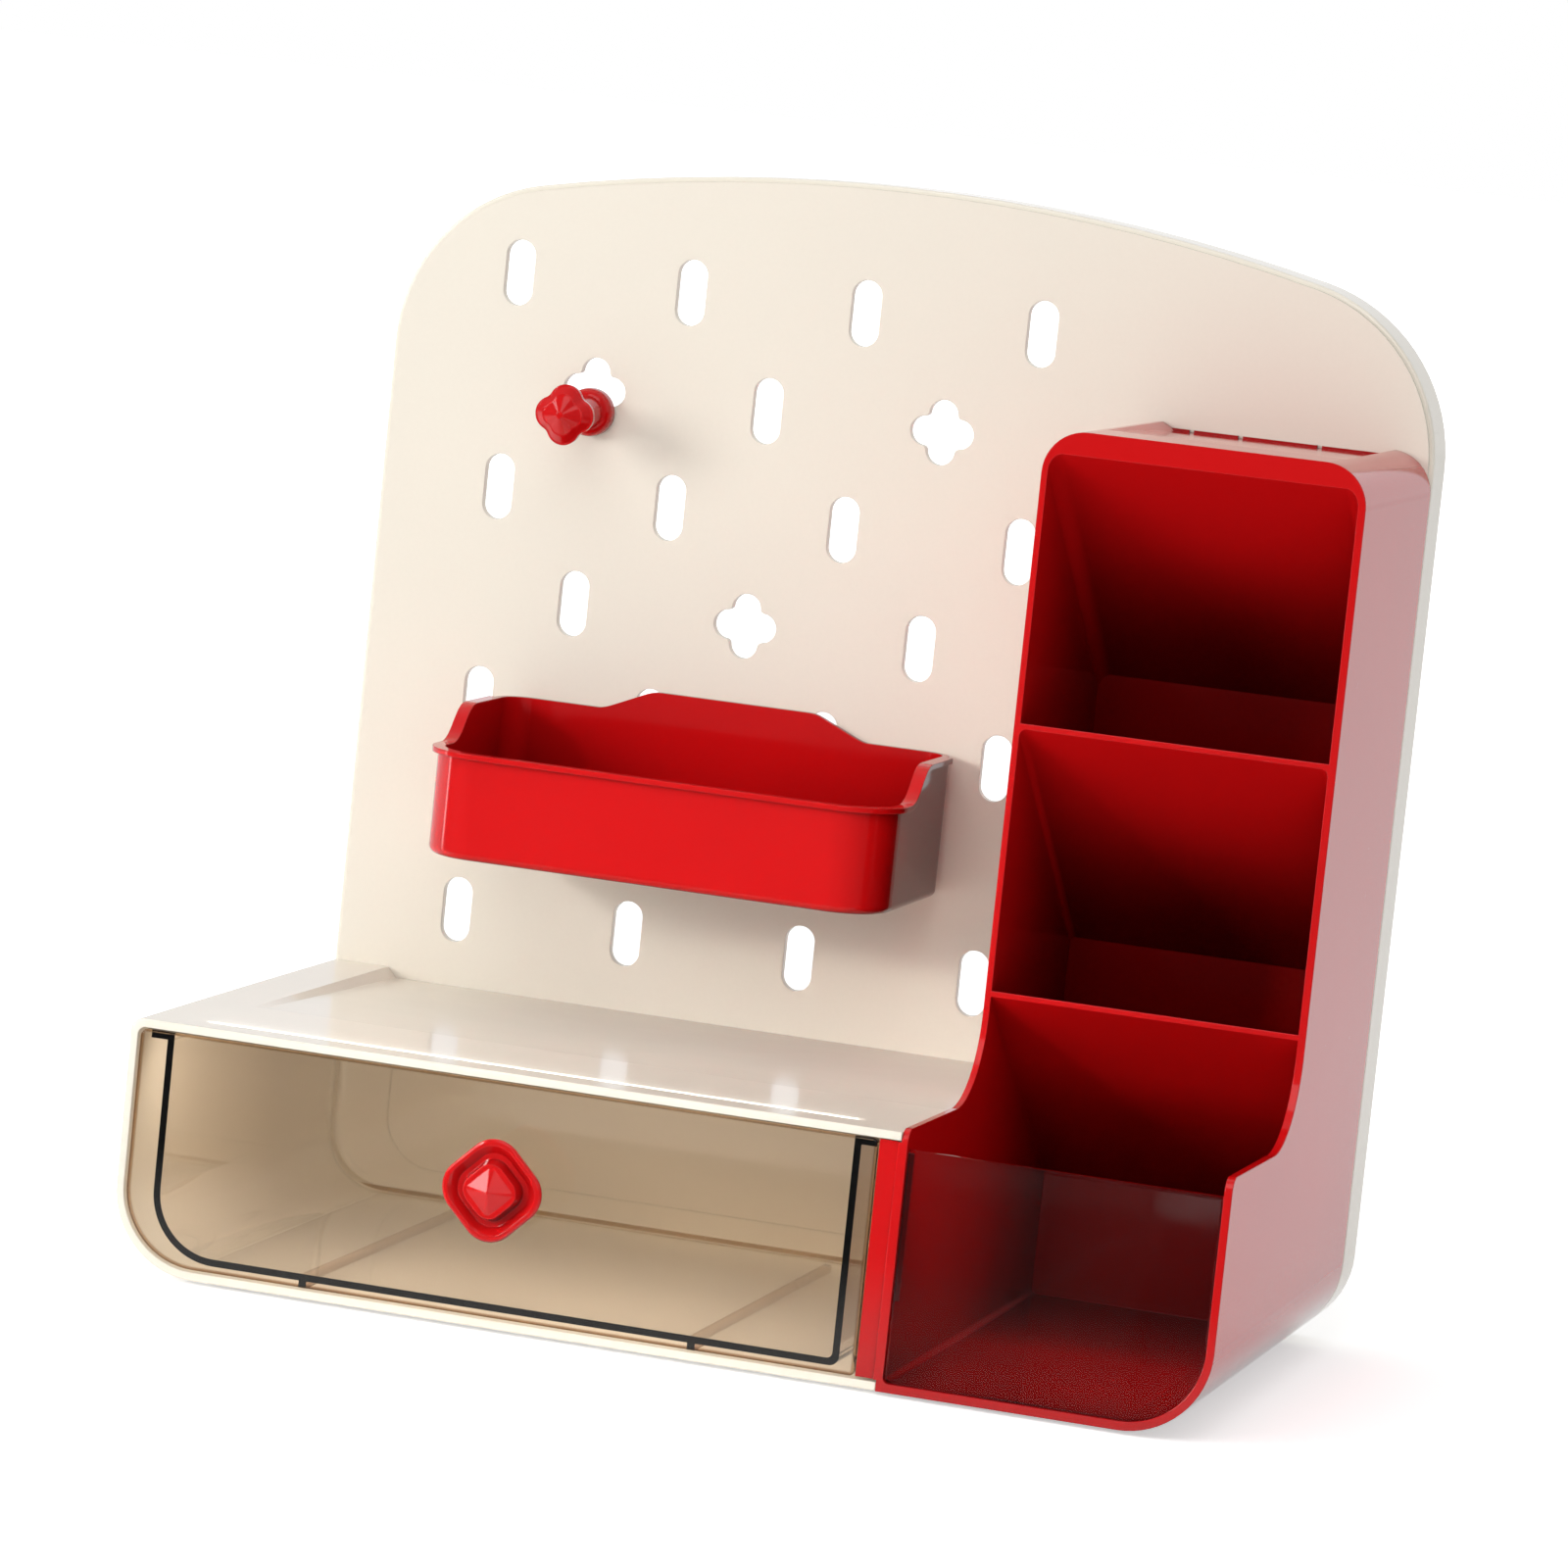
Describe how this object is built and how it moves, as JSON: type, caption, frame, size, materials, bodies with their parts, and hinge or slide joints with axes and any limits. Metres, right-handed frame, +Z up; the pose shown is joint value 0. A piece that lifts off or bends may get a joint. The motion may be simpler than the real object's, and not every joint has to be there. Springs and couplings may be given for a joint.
{
  "type": "desk organizer",
  "caption": "Pegboard desk organizer with one clear drawer, a side tower of open compartments, a hanging basket and a peg.",
  "frame": {"origin": "on the desk under the foot pads, half way across and half way between the drawer knob's front and the board's back", "axes": "+X to the user's right, towards the tower; +Y from the drawer front back towards the pegboard; +Z up"},
  "size_m": [0.284, 0.18, 0.2874],
  "materials": {
    "cream_plastic": "glossy moulded plastic",
    "red_plastic": "glossy moulded plastic",
    "clear_plastic": "clear polished plastic",
    "smoke_plastic": "see-through smoke-brown plastic",
    "pad_rubber": "matte rubber",
    "screw_steel": "zinc-plated steel"
  },
  "bodies": {
    "stand": {"pegboard_panel": "cream_plastic", "panel_screws": "screw_steel", "drawer_housing": "cream_plastic", "side_tower": "red_plastic", "tower_guard": "clear_plastic", "foot_pad_front_left": "pad_rubber", "foot_pad_back_left": "pad_rubber", "foot_pad_front_middle": "pad_rubber", "foot_pad_back_middle": "pad_rubber", "foot_pad_front_right": "pad_rubber", "foot_pad_back_right": "pad_rubber"},
    "drawer": {"smoke_drawer": "smoke_plastic", "drawer_knob": "red_plastic", "knob_screw": "screw_steel"},
    "basket": {"hanging_basket": "red_plastic"},
    "peg": {"hook_peg": "red_plastic"}
  },
  "joints": [
    {"name": "drawer_slide", "type": "slide", "parent": "stand", "child": "drawer", "axis": [0, -1, 0], "range_m": [0, 0.105]},
    {"name": "basket_lift", "type": "slide", "parent": "stand", "child": "basket", "axis": [0, 0, 1], "range_m": [0, 0.0066]},
    {"name": "peg_lift", "type": "slide", "parent": "stand", "child": "peg", "axis": [0, 0, 1], "range_m": [0, 0.0047]}
  ]
}
